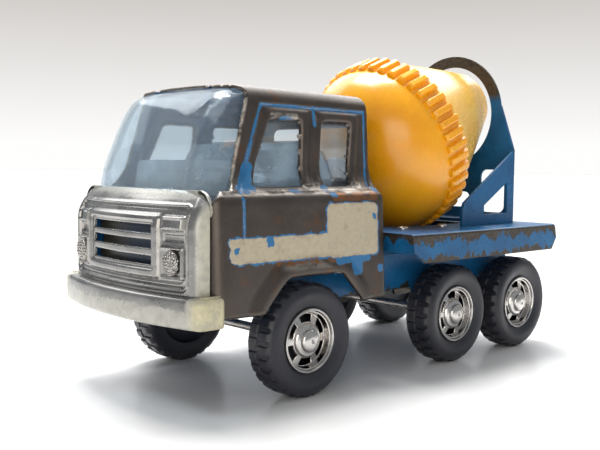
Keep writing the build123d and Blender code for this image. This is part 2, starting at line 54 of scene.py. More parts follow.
# ---------------------------------------------------------------- shader helpers
class Paint:
    """A material being built; each call adds a node and returns its output socket."""

    def __init__(self, name):
        self.material = bpy.data.materials.new(name)
        self.material.use_nodes = True
        self.tree = self.material.node_tree
        self.tree.nodes.clear()
        self.place = self.add("ShaderNodeTexCoord").outputs["Object"]
        split = self.add("ShaderNodeSeparateXYZ")
        self.put(split.inputs[0], self.place)
        self.x, self.y, self.z = (self.times(out, 1000) for out in split.outputs)

    def add(self, kind, **settings):
        node = self.tree.nodes.new(kind)
        for key, value in settings.items():
            setattr(node, key, value)
        return node

    def put(self, socket, value):
        if isinstance(value, bpy.types.NodeSocket):
            self.tree.links.new(value, socket)
        elif isinstance(value, (tuple, list)) and len(value) == 3 and socket.type == "RGBA":
            socket.default_value = (*value, 1)
        else:
            socket.default_value = value

    def math(self, operation, a, b=0.0, c=0.0, clamp=False):
        node = self.add("ShaderNodeMath", operation=operation, use_clamp=clamp)
        for socket, value in zip(node.inputs, (a, b, c)):
            self.put(socket, value)
        return node.outputs[0]

    def times(self, a, b):
        return self.math("MULTIPLY", a, b)

    def plus(self, a, b):
        return self.math("ADD", a, b)

    def minus(self, a, b):
        return self.math("SUBTRACT", a, b)

    def step(self, value, low, high, start=0.0, end=1.0):
        """Value mapped smoothly from low..high on to start..end."""
        node = self.add("ShaderNodeMapRange", interpolation_type="SMOOTHSTEP")
        for socket, number in zip(node.inputs, (value, low, high, start, end)):
            self.put(socket, number)
        return node.outputs[0]

    def mix(self, factor, a, b):
        node = self.add("ShaderNodeMix", data_type="RGBA")
        self.put(node.inputs[0], factor)
        self.put(node.inputs[6], a)
        self.put(node.inputs[7], b)
        return node.outputs[2]

    def blend(self, factor, a, b):
        node = self.add("ShaderNodeMix", data_type="FLOAT")
        for socket, value in zip(node.inputs, (factor, None, None, None)[:1]):
            self.put(socket, value)
        self.put(node.inputs[2], a)
        self.put(node.inputs[3], b)
        return node.outputs[0]

    def noise(self, size, detail=3.0, rough=0.55, stretch=(1, 1, 1), shift=0.0):
        """Noise whose blobs are about size millimetres across."""
        mapping = self.add("ShaderNodeMapping")
        self.put(mapping.inputs["Vector"], self.place)
        mapping.inputs["Scale"].default_value = [1 / s for s in stretch]
        mapping.inputs["Location"].default_value = (shift, shift, shift)
        node = self.add("ShaderNodeTexNoise")
        self.put(node.inputs["Vector"], mapping.outputs[0])
        node.inputs["Scale"].default_value = 1 / (size * mm)
        node.inputs["Detail"].default_value = detail
        node.inputs["Roughness"].default_value = rough
        return node.outputs["Fac"]

    def cells(self, size, feature="F1"):
        node = self.add("ShaderNodeTexVoronoi", feature=feature)
        self.put(node.inputs["Vector"], self.place)
        node.inputs["Scale"].default_value = 1 / (size * mm)
        return node.outputs["Distance"]

    def edges(self, radius, low=0.01, high=0.12):
        """One on convex and concave edges, nought on flat faces."""
        bevel = self.add("ShaderNodeBevel", samples=4)
        bevel.inputs["Radius"].default_value = radius * mm
        geometry = self.add("ShaderNodeNewGeometry")
        dot = self.add("ShaderNodeVectorMath", operation="DOT_PRODUCT")
        self.put(dot.inputs[0], bevel.outputs[0])
        self.put(dot.inputs[1], geometry.outputs["Normal"])
        return self.step(self.minus(1.0, dot.outputs["Value"]), low, high)

    def segment(self, start, end):
        """Distance in millimetres, in side view, from the stroke between two (x, z) points."""
        along = (end[0] - start[0], end[1] - start[1])
        length = along[0] ** 2 + along[1] ** 2
        dx = self.minus(self.x, start[0])
        dz = self.minus(self.z, start[1])
        dot = self.plus(self.times(dx, along[0]), self.times(dz, along[1]))
        t = self.math("DIVIDE", dot, length, clamp=True)
        ex = self.minus(dx, self.times(t, along[0]))
        ez = self.minus(dz, self.times(t, along[1]))
        squares = self.plus(self.times(ex, ex), self.times(ez, ez))
        return self.math("SQRT", squares)

    def panel(self, x0, x1, z0, z1, corner):
        """Signed distance in millimetres from a rounded rectangle in side view, negative inside."""
        reach = []
        for axis, low, high in ((self.x, x0, x1), (self.z, z0, z1)):
            off = self.math("ABSOLUTE", self.minus(axis, (low + high) / 2))
            reach.append(self.minus(off, (high - low) / 2 - corner))
        outer = [self.math("MAXIMUM", value, 0.0) for value in reach]
        square = [self.times(value, value) for value in outer]
        far = self.math("SQRT", self.plus(*square))
        near = self.math("MINIMUM", self.math("MAXIMUM", *reach), 0.0)
        return self.minus(self.plus(far, near), corner)

    def least(self, *values):
        result = values[0]
        for value in values[1:]:
            result = self.math("MINIMUM", result, value)
        return result

    def most(self, *values):
        result = values[0]
        for value in values[1:]:
            result = self.math("MAXIMUM", result, value)
        return result

    def finish(self, color, roughness, metallic=0.0, height=None, relief=0.05, **extra):
        """Principled surface with an optional bump of relief millimetres."""
        shader = self.add("ShaderNodeBsdfPrincipled")
        self.put(shader.inputs["Base Color"], color)
        self.put(shader.inputs["Roughness"], roughness)
        self.put(shader.inputs["Metallic"], metallic)
        for name, value in extra.items():
            self.put(shader.inputs[name.replace("_", " ")], value)
        if height is not None:
            bump = self.add("ShaderNodeBump")
            bump.inputs["Distance"].default_value = relief * mm
            bump.inputs["Strength"].default_value = 1.0
            self.put(bump.inputs["Height"], height)
            self.put(shader.inputs["Normal"], bump.outputs[0])
        out = self.add("ShaderNodeOutputMaterial")
        self.put(out.inputs[0], shader.outputs[0])
        self.shader = shader
        self.out = out
        return self.material


BLUE = (0.012, 0.115, 0.27)
BARE = (0.068, 0.056, 0.048)
BRIGHT = (0.50, 0.45, 0.39)
CREAM = (0.42, 0.36, 0.25)
RUST = (0.16, 0.06, 0.022)


CAB_SEAMS = (
    ((50.6, 48.2), (47.0, 53.4)),
    ((47.0, 53.4), (44.2, 61.2)),
    ((44.2, 61.2), (41.5, 67.9)),
    ((41.5, 67.9), (7.9, 67.5)),
    ((7.9, 67.5), (8.0, 54.0)),
    ((8.0, 54.0), (9.2, 49.0)),
    ((25.4, 67.9), (25.1, 63.6)),
    ((50.95, 46.9), (51.1, 37.5)),
)


def worn_cab():
    """Blue enamel worn to brown steel, with a cream painted flash on each side."""
    p = Paint("worn_cab")
    chips = p.noise(2.6, 5, 0.62)
    fine = p.noise(0.9, 4, 0.6, shift=3.0)
    broad = p.noise(14, 4, 0.6, shift=1.0)
    ragged = p.times(p.minus(chips, 0.5), 3.2)
    ragged = p.plus(ragged, p.times(p.minus(fine, 0.5), 1.4))
    # Cream flash: a rounded block behind the door and a stripe running forward
    block = p.panel(8.9, 26.2, 32.5, 45.3, 1.5)
    stripe = p.panel(14.0, 55.4, 32.9, 38.3, 0.9)
    flash = p.plus(p.least(block, stripe), p.times(ragged, 0.22))
    tip = p.step(p.x, 51.0, 56.5, 0.0, 1.1)
    flash = p.plus(flash, p.times(tip, p.plus(ragged, 0.35)))
    on_side = p.step(p.math("ABSOLUTE", p.y), 26.6, 26.8)
    pits = p.step(p.noise(1.5, 5, 0.7, shift=9.0), 0.66, 0.69)
    holes = (
        p.panel(9.4, 10.6, 41.0, 42.4, 0.5),
        p.panel(43.0, 44.6, 36.2, 39.2, 0.4),
        p.panel(52.6, 54.0, 35.2, 36.4, 0.4),
    )
    hole = p.step(p.plus(p.least(*holes), p.times(ragged, 0.5)), 0.2, 0.0)
    cream = p.times(p.step(flash, 0.12, -0.12), on_side)
    cream = p.times(cream, p.minus(1.0, p.most(pits, hole)))
    halo = p.step(p.plus(flash, p.times(ragged, 0.55)), 0.45, 0.2)
    # Blue left in the seams and in a few patches
    seam = p.least(*(p.segment(start, end) for start, end in CAB_SEAMS))
    groove = p.step(p.plus(seam, p.times(ragged, 0.26)), 0.50, 0.30)
    patches = (
        p.panel(46.0, 50.9, 48.6, 49.6, 0.5),
        p.panel(33.2, 36.2, 48.0, 48.6, 0.2),
        p.panel(24.0, 26.0, 48.0, 49.4, 0.4),
        p.panel(22.2, 24.2, 46.8, 48.0, 0.3),
        p.panel(7.2, 8.9, 47.8, 48.9, 0.3),
        p.panel(11.6, 24.2, 31.0, 32.4, 0.3),
        p.panel(14.6, 18.4, 28.0, 31.6, 0.7),
        p.panel(7.0, 8.8, 28.0, 29.8, 0.4),
        p.panel(32.6, 36.2, 64.6, 65.5, 0.3),
        p.panel(49.2, 49.9, 58.6, 59.8, 0.2),
        p.panel(47.9, 48.7, 63.8, 64.6, 0.2),
    )
    foot = p.minus(p.segment((46.6, 53.6), (48.7, 49.3)), 1.3)
    patch = p.step(p.plus(p.least(foot, *patches), p.times(ragged, 0.5)), 0.2, 0.0)
    stray = p.step(p.noise(4.5, 5, 0.7, shift=5.0), 0.72, 0.735)
    blue = p.most(groove, patch, stray, p.times(halo, on_side))
    # Rolled edges rubbed bright; the bright bands along the belt, pillars, sills and arch flare are partly
    # painted highlight
    edge = p.edges(0.7, 0.02, 0.16)
    belt = p.step(p.math("ABSOLUTE", p.minus(p.z, 48.15)), 0.85, 0.2)
    pillars = (p.segment((52.6, 49.0), (50.2, 53.4)), p.segment((50.2, 53.4), (45.4, 70.0)))
    pillar = p.step(p.least(*pillars), 0.75, 0.25)
    sills = (
        p.panel(31.0, 39.0, 64.6, 66.0, 0.4),
        p.panel(26.0, 31.0, 48.9, 50.0, 0.3),
        p.panel(12.0, 15.0, 48.9, 50.0, 0.3),
    )
    sill = p.step(p.least(*sills), 0.6, -0.2)
    from_flare = p.math("ABSOLUTE", p.minus(p.z, 31.4))
    flare = p.times(p.step(from_flare, 1.4, 0.2), p.step(p.x, 42, 38))
    flare = p.times(flare, p.times(p.step(p.x, 20.0, 24.0), 0.5))
    patchy = p.step(p.noise(2.4, 5, 0.65, shift=7.0, stretch=(2.2, 1, 1)), 0.40, 0.58)
    rubbed_and_highlight = p.times(p.most(edge, belt, p.times(pillar, 0.9), sill, flare), patchy)
    blue = p.times(blue, p.minus(1.0, p.times(rubbed_and_highlight, 0.75)))
    scuff = p.step(broad, 0.40, 0.66)
    steel = p.mix(scuff, BARE, (0.085, 0.071, 0.062))
    steel = p.mix(p.step(fine, 0.50, 0.80, 0.0, 0.30), steel, (0.13, 0.11, 0.095))
    low = p.step(p.z, 34.0, 24.0)
    rust_amount = p.plus(0.35, p.times(low, 0.35))
    rust = p.times(p.step(p.noise(6, 5, 0.65, shift=12.0), 0.52, 0.70), rust_amount)
    steel = p.mix(rust, steel, RUST)
    # Bare steel rubbed bright on the edges, and painted highlight on the belt, pillars, sills and arch
    # flare
    steel = p.mix(p.times(rubbed_and_highlight, 0.8), steel, BRIGHT)
    rusty_lines = (p.panel(9.0, 24.0, 46.2, 47.4, 0.4), p.panel(23.0, 42.0, 32.0, 32.8, 0.3))
    rusty_belt = p.step(p.least(*rusty_lines), 0.8, 0.0)
    steel = p.mix(p.times(rusty_belt, p.step(chips, 0.4, 0.6)), steel, (0.22, 0.10, 0.045))
    dusty = p.mix(p.step(p.noise(1.2, 5, 0.7, shift=2.0), 0.38, 0.68), CREAM, (0.36, 0.32, 0.235))
    dusty = p.mix(p.step(p.noise(4.5, 5, 0.7, shift=4.0), 0.55, 0.75, 0.0, 0.5), dusty, (0.20, 0.155, 0.10))
    rim = p.step(flash, -0.8, 0.1, 0.0, 0.6)
    dusty = p.mix(p.times(rim, p.step(chips, 0.45, 0.6)), dusty, (0.26, 0.15, 0.07))
    color = p.mix(blue, steel, p.mix(p.noise(5, 3), BLUE, (0.016, 0.135, 0.30)))
    color = p.mix(cream, color, dusty)
    painted = p.most(blue, cream)
    metallic = p.blend(painted, 0.78, 0.0)
    rough = p.blend(painted, p.step(fine, 0.3, 0.7, 0.28, 0.42), 0.40)
    height = p.plus(p.times(painted, 1.0), p.times(fine, 0.35))
    return p.finish(color, rough, metallic, height, 0.06)


def worn_blue(name, top, foot, wear_top, wear_foot, arch_from=None):
    """Blue enamel with bare steel along edges and along the top and foot of its sides."""
    p = Paint(name)
    chips = p.noise(2.4, 5, 0.62, stretch=(1, 1, 1.6))
    streak = p.noise(3.2, 5, 0.65, stretch=(0.8, 1, 3.0), shift=4.0)
    average = p.times(p.plus(chips, streak), 0.5)
    ragged = p.times(p.minus(average, 0.5), 14)
    from_top = p.minus(top, p.z)
    from_foot = p.minus(p.z, foot)
    worn = p.step(p.plus(from_top, ragged), wear_top, wear_top - 0.25)
    worn = p.most(worn, p.step(p.plus(from_foot, ragged), wear_foot, wear_foot - 0.25))
    geometry = p.add("ShaderNodeNewGeometry")
    facing = p.add("ShaderNodeSeparateXYZ")
    p.put(facing.inputs[0], geometry.outputs["Normal"])
    level = p.step(p.math("ABSOLUTE", facing.outputs[2]), 0.8, 0.6)
    worn = p.times(worn, level)
    edge = p.edges(0.5, 0.02, 0.15)
    worn = p.most(worn, p.times(edge, p.step(p.noise(3, 5, 0.6, shift=8.0), 0.40, 0.5)))
    worn = p.most(worn, p.step(p.noise(5, 6, 0.7, shift=6.0), 0.735, 0.75))
    if arch_from is not None:
        ragged_height = p.plus(p.z, p.times(ragged, 0.6))
        worn = p.most(worn, p.step(ragged_height, arch_from, arch_from + 2.5))
    fine = p.noise(0.8, 4, 0.6)
    bare = p.mix(p.step(fine, 0.3, 0.7), (0.042, 0.035, 0.029), (0.088, 0.073, 0.058))
    blue = p.mix(p.step(p.noise(9, 4, 0.6), 0.3, 0.7), (0.004, 0.070, 0.180), (0.008, 0.105, 0.250))
    blue = p.mix(p.step(p.noise(1.6, 5, 0.7), 0.6, 0.8, 0.0, 0.4), blue, (0.035, 0.15, 0.29))
    color = p.mix(worn, blue, bare)
    metallic = p.times(worn, 0.6)
    rough = p.blend(worn, p.step(fine, 0.3, 0.7, 0.26, 0.40), 0.45)
    height = p.plus(p.times(worn, -1.0), p.times(fine, 0.2))
    return p.finish(color, rough, metallic, height, 0.07, Specular_IOR_Level=0.3)


def plated_plastic():
    """Yellowed clear plastic whose vacuum plating is worn off the rims and the bumper."""
    p = Paint("plated_plastic")
    chips = p.noise(2.2, 6, 0.65)
    fine = p.noise(1.1, 4, 0.6, shift=2.0)
    smear = p.noise(5.0, 5, 0.65, stretch=(1, 2.5, 1), shift=6.0)
    out = p.step(p.math("ABSOLUTE", p.y), 24.9, 26.2)
    flake = p.times(p.minus(chips, 0.5), 6)
    low = p.step(p.plus(p.z, flake), 24.2, 23.2)
    ahead = p.step(p.x, 64.0, 64.4)
    high = p.step(p.plus(p.z, p.times(flake, 0.4)), 46.9, 47.8)
    bumper_foot = p.times(p.times(low, ahead), 0.8)
    bare = p.most(out, bumper_foot, p.times(high, 0.6))
    bare = p.most(bare, p.step(chips, 0.64, 0.70, 0.0, 0.35))
    yellow = p.step(p.math("ABSOLUTE", p.y), 25.5, 28.5)
    milky = p.mix(yellow, (0.42, 0.41, 0.36), (0.52, 0.47, 0.30))
    milky = p.mix(p.step(chips, 0.40, 0.62, 0.0, 0.55), milky, (0.27, 0.26, 0.22))
    silver = p.mix(p.step(smear, 0.3, 0.7), (0.22, 0.215, 0.205), (0.36, 0.35, 0.335))
    color = p.mix(bare, silver, milky)
    metallic = p.blend(bare, 0.92, 0.0)
    rough = p.blend(bare, p.step(smear, 0.3, 0.7, 0.20, 0.36), 0.30)
    return p.finish(color, rough, metallic, p.plus(p.times(fine, 0.4), bare), 0.025)


def slot_painted_shade():
    """Painted shade for the shadowed inside of the grille, navy with a warmer end."""
    p = Paint("slot_painted_shade")
    side = p.step(p.y, -10, 4)
    color = p.mix(side, (0.035, 0.032, 0.022), (0.012, 0.022, 0.045))
    return p.finish(color, 0.35, 0.0, p.noise(1.5, 4), 0.05)


def lens_plate():
    """Pebbled lamp lens, plated behind."""
    p = Paint("lens_plate")
    dots = p.step(p.cells(0.62), 0.0, 0.55)
    color = p.mix(dots, (0.78, 0.76, 0.73), (0.30, 0.28, 0.26))
    return p.finish(color, 0.16, 0.9, p.minus(1.0, dots), 0.25)


def rubber():
    """Blue-black moulded tyre with dusty shoulders."""
    p = Paint("rubber")
    fine = p.noise(0.5, 5, 0.6)
    broad = p.noise(6, 4, 0.6)
    dust = p.times(p.edges(0.5, 0.02, 0.25), p.step(fine, 0.4, 0.7))
    color = p.mix(p.step(broad, 0.3, 0.7), (0.010, 0.011, 0.017), (0.019, 0.019, 0.026))
    color = p.mix(p.times(dust, 0.5), color, (0.055, 0.055, 0.06))
    return p.finish(color, p.step(broad, 0.3, 0.7, 0.38, 0.52), 0.0, fine, 0.04, Specular_IOR_Level=0.45)


def chrome():
    """Bright plating on the hubs, with patches of grime."""
    p = Paint("chrome")
    fine = p.noise(0.7, 4, 0.6)
    broad = p.noise(3.5, 5, 0.65)
    grime = p.times(p.step(broad, 0.52, 0.70), 0.55)
    color = p.mix(grime, (0.52, 0.50, 0.48), (0.20, 0.17, 0.14))
    rough = p.step(broad, 0.35, 0.7, 0.12, 0.28)
    return p.finish(color, rough, 1.0, fine, 0.015)


def plain_steel():
    """Drawn steel for axles, rivets, spindle and washer."""
    p = Paint("plain_steel")
    lines = p.noise(0.35, 3, 0.6, stretch=(1, 8, 1))
    spots = p.step(p.noise(2.2, 5, 0.7), 0.58, 0.75)
    color = p.mix(p.times(spots, 0.6), (0.46, 0.43, 0.40), RUST)
    return p.finish(color, p.step(lines, 0.3, 0.7, 0.25, 0.42), 0.9, lines, 0.02)


def drum_plastic(name, color, deep, glow):
    """Glossy yellow-orange moulding with fine scratches and faint mottling."""
    p = Paint(name)
    broad = p.noise(16, 4, 0.55)
    fine = p.noise(0.7, 5, 0.6)
    scratch = p.step(p.noise(1.2, 6, 0.8, stretch=(1, 1, 9)), 0.66, 0.72)
    tint = p.mix(p.step(broad, 0.3, 0.7), color, deep)
    tint = p.mix(p.times(scratch, 0.18), tint, (0.9, 0.7, 0.35))
    rough = p.plus(p.step(fine, 0.3, 0.7, 0.20, 0.30), p.times(scratch, 0.15))
    material = p.finish(tint, rough, 0.0, fine, 0.02, Coat_Weight=0.12, Coat_Roughness=0.15)
    p.put(p.shader.inputs["Subsurface Weight"], glow)
    p.put(p.shader.inputs["Subsurface Radius"], (1.0, 0.45, 0.12))
    p.put(p.shader.inputs["Subsurface Scale"], 2.5 * mm)
    return material


def clear_plastic(name, tint, clear, milk):
    """Blue-tinted clear moulding with fine surface haze."""
    p = Paint(name)
    haze = p.noise(2.0, 5, 0.7)
    specks = p.step(p.noise(0.5, 4, 0.7), 0.72, 0.78)
    rough = p.plus(p.step(haze, 0.4, 0.7, 0.02, 0.07), p.times(specks, 0.2))
    material = p.finish(tint, rough, 0.0, haze, 0.01, Transmission_Weight=1.0, IOR=1.42)
    through = p.add("ShaderNodeBsdfTransparent")
    p.put(through.inputs[0], tint)
    both = p.add("ShaderNodeMixShader")
    p.put(both.inputs[0], p.minus(clear, p.times(specks, 0.2)))
    p.put(both.inputs[1], p.shader.outputs[0])
    p.put(both.inputs[2], through.outputs[0])
    scuffs = p.add("ShaderNodeBsdfDiffuse")
    scuffs.inputs[0].default_value = (0.80, 0.86, 0.90, 1)
    hazy = p.add("ShaderNodeMixShader")
    worn = p.plus(milk, p.times(p.most(specks, p.step(haze, 0.58, 0.72, 0.0, 0.4)), 0.3))
    p.put(hazy.inputs[0], worn)
    p.put(hazy.inputs[1], both.outputs[0])
    p.put(hazy.inputs[2], scuffs.outputs[0])
    p.put(p.out.inputs[0], hazy.outputs[0])
    return material


# ---------------------------------------------------------------- mesh helpers
def new_mesh(name, verts, faces, material, body, smooth=35):
    mesh = bpy.data.meshes.new(name)
    mesh.from_pydata([v[:] for v in verts], [], faces)
    mesh.validate()
    mesh.shade_smooth()
    mesh.set_sharp_from_angle(angle=radians(smooth))
    mesh.materials.append(material)
    piece = bpy.data.objects.new(name, mesh)
    scene.collection.objects.link(piece)
    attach(piece, body)
    return piece


def lathe(profile, segments, centre, axis, side, shape=None, skip=None):
    """Vertices and faces of a profile of (along, radius) points turned about an axis.

    shape(turn, index, along, radius) may change the radius; skip(turn, index) leaves a face out.
    """
    up = axis.cross(side)
    verts = []
    faces = []
    for i, (along, radius) in enumerate(profile):
        for j in range(segments):
            turn = 2 * pi * j / segments
            r = shape(turn, i, along, radius) if shape else radius
            verts.append(centre + axis * along + (side * cos(turn) + up * sin(turn)) * r)
    for i in range(len(profile) - 1):
        for j in range(segments):
            if skip and skip(2 * pi * (j + 0.5) / segments, i):
                continue
            k = (j + 1) % segments
            near, far = i * segments, (i + 1) * segments
            faces.append((near + j, near + k, far + k, far + j))
    return verts, faces


def strip(rows, closed_rows=False, closed_along=False):
    """Faces over a grid of vertex rows."""
    verts = [v for row in rows for v in row]
    count = len(rows[0])
    faces = []
    for i in range(len(rows) - (0 if closed_rows else 1)):
        for j in range(count - (0 if closed_along else 1)):
            a, b = i * count + j, i * count + (j + 1) % count
            c = ((i + 1) % len(rows)) * count
            faces.append((a, b, c + (j + 1) % count, c + j))
    return verts, faces


def steps_between(start, end, size):
    count = max(1, round(abs(end - start) / size))
    return [start + (end - start) * i / count for i in range(count + 1)]


def smooth(value, low, high):
    t = min(1.0, max(0.0, (value - low) / (high - low)))
    return t * t * (3 - 2 * t)


def curl(gap, radius):
    """How far a pressed edge turns in at a distance from its rim."""
    if gap >= radius:
        return 0.0
    return radius - sqrt(max(0.0, radius**2 - (radius - max(gap, 0.0)) ** 2))


def polygon_gap(x, z, corners, soft=0.35):
    """Distance outside a convex polygon, its corners rounded; negative inside."""
    total = 0.0
    count = len(corners)
    area = sum(corners[i - 1][0] * corners[i][1] - corners[i][0] * corners[i - 1][1] for i in range(count))
    turn = 1 if area > 0 else -1
    for i in range(count):
        x0, z0 = corners[i - 1]
        x1, z1 = corners[i]
        length = sqrt((x1 - x0) ** 2 + (z1 - z0) ** 2)
        away = turn * ((x - x0) * (z1 - z0) - (z - z0) * (x1 - x0)) / length
        total += exp(min(away / soft, 60.0))
    return soft * log(total)


def stroke_gap(x, z, strokes):
    """Distance from the nearest of some straight strokes."""
    nearest = 1e9
    for (x0, z0), (x1, z1) in strokes:
        dx, dz = x1 - x0, z1 - z0
        t = min(1.0, max(0.0, ((x - x0) * dx + (z - z0) * dz) / (dx * dx + dz * dz)))
        nearest = min(nearest, sqrt((x - x0 - t * dx) ** 2 + (z - z0 - t * dz) ** 2))
    return nearest


def cut_skin(name, us, vs, gap, place, material, thickness, flip=False):
    """A pressed skin over a grid in u and v, trimmed where gap(u, v) falls below nought.

    place(u, v, gap) returns the point in metres. Grid corners near a rim are moved on to it.
    """
    size = min(abs(us[1] - us[0]), abs(vs[1] - vs[0]))
    verts, kept, shown = [], {}, []
    for i, u in enumerate(us):
        row = []
        for j, v in enumerate(vs):
            g = gap(u, v)
            if abs(g) < 0.8 * size:
                e = 0.02
                gu = (gap(u + e, v) - gap(u - e, v)) / (2 * e)
                gv = (gap(u, v + e) - gap(u, v - e)) / (2 * e)
                slope = gu * gu + gv * gv
                if slope > 1e-6:
                    row.append((place(u - g * gu / slope, v - g * gv / slope, 0.0), 0.0, g))
                    continue
            row.append((place(u, v, g) if g > 0 else None, g, g))
        shown.append(row)
    faces = []
    for i in range(len(us) - 1):
        for j in range(len(vs) - 1):
            corners = ((i, j), (i + 1, j), (i + 1, j + 1), (i, j + 1))
            cells = [shown[a][b] for a, b in corners]
            if any(c[0] is None for c in cells) or sum(c[2] for c in cells) <= 0:
                continue
            face = []
            for key, cell in zip(corners, cells):
                if key not in kept:
                    kept[key] = len(verts)
                    verts.append(cell[0])
                face.append(kept[key])
            faces.append(face[::-1] if flip else face)
    piece = new_mesh(name, verts, faces, material, "truck", 55)
    wall = piece.modifiers.new("wall", "SOLIDIFY")
    wall.thickness = thickness * mm
    wall.offset = -1
    return piece


# ---------------------------------------------------------------- materials
cab_paint = worn_cab()
deck_low, deck_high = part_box("deck")
deck_top = deck_high[2] / mm
deck_foot = deck_low[2] / mm
deck_paint = worn_blue("deck_paint", deck_top, deck_foot, 2.2, 1.4)
chassis_paint = worn_blue("chassis_paint", 200, 20.5, -40, 0.8)
support_paint = worn_blue("support_paint", 200, 0, -40, -40, arch_from=74)
bright_plastic = plated_plastic()
lens_material = lens_plate()
rubber_material = rubber()
chrome_material = chrome()
steel_material = plain_steel()
drum_material = drum_plastic("drum_yellow", (0.84, 0.38, 0.006), (0.78, 0.31, 0.004), 0.10)
cone_material = drum_plastic("cone_yellow", (0.80, 0.50, 0.09), (0.74, 0.42, 0.06), 0.30)
inner_paint = worn_blue("inner_paint", 200, 0, -40, -40)
glazing_material = clear_plastic("glazing", (0.90, 0.95, 0.98), 0.80, 0.05)
interior_material = clear_plastic("interior_blue", (0.74, 0.85, 0.92), 0.30, 0.24)

finishes = {
    "chassis": chassis_paint,
    "deck": deck_paint,
    "deck_rivets": steel_material,
    "cab_interior": interior_material,
    "rear_support": support_paint,
    "support_rivets": steel_material,
    "drum_bracket": support_paint,
    "bracket_rivets": steel_material,
    "drum_spindle": steel_material,
    "spindle_washer": steel_material,
    "axle_front": steel_material,
    "axle_middle": steel_material,
    "axle_rear": steel_material,
}
rounded = {"chassis": 0.25, "deck": 0.3, "rear_support": 0.2}
for name, material in finishes.items():
    node = nodes[name]
    node.data.materials.clear()
    node.data.materials.append(material)
    if name in rounded:
        weld = node.modifiers.new("weld", "WELD")
        weld.merge_threshold = 0.01 * mm
        bevel = node.modifiers.new("soft_edges", "BEVEL")
        bevel.width = rounded[name] * mm
        bevel.segments = 2
        bevel.limit_method = "ANGLE"
        bevel.angle_limit = radians(32)
        bevel.harden_normals = True


# ---------------------------------------------------------------- wheels
LUGS = 26


def tread_profile(width):
    """(along the axle from the outer face, radius) round the whole tyre, in millimetres."""
    return (
        (-2.6, 7.3),
        (-1.4, 7.6),
        (-0.95, 7.9),
        (-0.75, 8.4),
        (-0.35, 9.2),
        (-0.1, 10.2),
        (-0.02, 11.2),
        (-0.25, 12.1),
        (-0.7, 12.75),
        (-1.1, 13.1),
        (-1.5, 13.45),
        (-2.2, 13.5),
        (-3.9, 13.5),
        (-4.15, 13.5),
        (-width / 2, 13.5),
        (4.15 - width, 13.5),
        (3.9 - width, 13.5),
        (2.2 - width, 13.5),
        (1.5 - width, 13.45),
        (1.1 - width, 13.1),
        (0.7 - width, 12.75),
        (0.25 - width, 12.1),
        (0.02 - width, 11.2),
        (0.1 - width, 10.0),
        (0.35 - width, 8.9),
        (0.35 - width, 8.6),
        (0.9 - width, 8.3),
        (1.6 - width, 7.6),
        (1.9 - width, 5.0),
        (1.9 - width, 1.3),
    )


def lug_depth(turn, index):
    """How far the tread is cut away at this angle and profile point."""
    rows = {9: 0.5, 10: 1.0, 11: 1.0, 12: 1.0, 16: 1.0, 17: 1.0, 18: 1.0, 19: 0.5}
    if index in (13, 14, 15):
        return 0.35
    if index not in rows:
        return 0.0
    phase = turn * LUGS / (2 * pi) + (0.5 if index > 14 else 0.0)
    within = phase - floor(phase)
    return rows[index] * (0.5 if within > 0.62 else 0.0)


def build_wheel(axle, side_name):
    side = SIDES[side_name]
    low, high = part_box(f"tyre_{axle}_{side_name}")
    centre = Vector(((low[0] + high[0]) / 2, high[1] if side > 0 else low[1], (low[2] + high[2]) / 2))
    out = Vector((0, side, 0))
    width = (high[1] - low[1]) / mm
    body = f"{axle}_wheels"
    profile = [(a * mm, r * mm) for a, r in tread_profile(width)]
    verts, faces = lathe(
        profile,
        LUGS * 16,
        centre,
        out,
        Vector((1, 0, 0)),
        shape=lambda turn, i, a, r: r - lug_depth(turn, i) * mm,
    )
    tyre = new_mesh(f"tyre_{axle}_{side_name}_detail", verts, faces, rubber_material, body, 40)
    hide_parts(f"tyre_{axle}_{side_name}")
    build_hub(axle, side_name, centre, out, body)


def build_hub(axle, side_name, centre, out, body):
    """Plated hub: rolled rim, six windows between spokes, stepped domed cap."""
    profile = (
        (-1.7, 7.75),
        (-0.95, 7.72),
        (-0.65, 7.6),
        (-0.5, 7.35),
        (-0.6, 7.1),
        (-0.95, 6.9),
        (-1.2, 6.85),
        (-1.3, 6.6),
        (-2.4, 6.42),
        (-2.65, 6.25),
        (-2.7, 6.05),
        (-2.45, 5.2),
        (-2.2, 4.35),
        (-2.05, 4.0),
        (-1.6, 3.85),
        (-1.35, 3.6),
        (-1.2, 2.95),
        (-1.05, 2.75),
        (-0.5, 2.62),
        (-0.2, 2.35),
        (0.05, 1.7),
        (0.2, 0.9),
        (0.24, 0.02),
    )
    windows = (10, 11)

    def open_window(turn, index):
        phase = turn * 6 / (2 * pi)
        return index in windows and 0.17 < phase - floor(phase) < 0.83

    points = [(a * mm, r * mm) for a, r in profile]
    verts, faces = lathe(points, 144, centre, out, Vector((1, 0, 0)), skip=open_window)
    hub = new_mesh(f"hub_{axle}_{side_name}_detail", verts, faces, chrome_material, body, 30)
    wall = hub.modifiers.new("wall", "SOLIDIFY")
    wall.thickness = 0.5 * mm
    wall.offset = -1
    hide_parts(f"hub_{axle}_{side_name}")


for axle in AXLES:
    for side_name in SIDES:
        build_wheel(axle, side_name)


# ---------------------------------------------------------------- drum
drum_joint = next(j for j in frame["joints"] if j["child"] == "drum")
drum_axis = Vector(drum_joint["axis"]).normalized()
drum_centre = Vector(drum_joint["pos_m"])
drum_side = Vector((0, 1, 0))
TEETH = 45


def tooth(turn, index, along, radius):
    """Square-shouldered rounded teeth round the girth band."""
    if index not in (3, 4, 5, 6):
        return radius
    phase = turn * TEETH / (2 * pi)
    wave = abs(2 * (phase - floor(phase)) - 1)
    rise = min(1.0, max(0.0, (wave - 0.30) / 0.26))
    rise = rise * rise * (3 - 2 * rise)
    return radius + (1.35 if index in (4, 5) else 0.9) * mm * rise


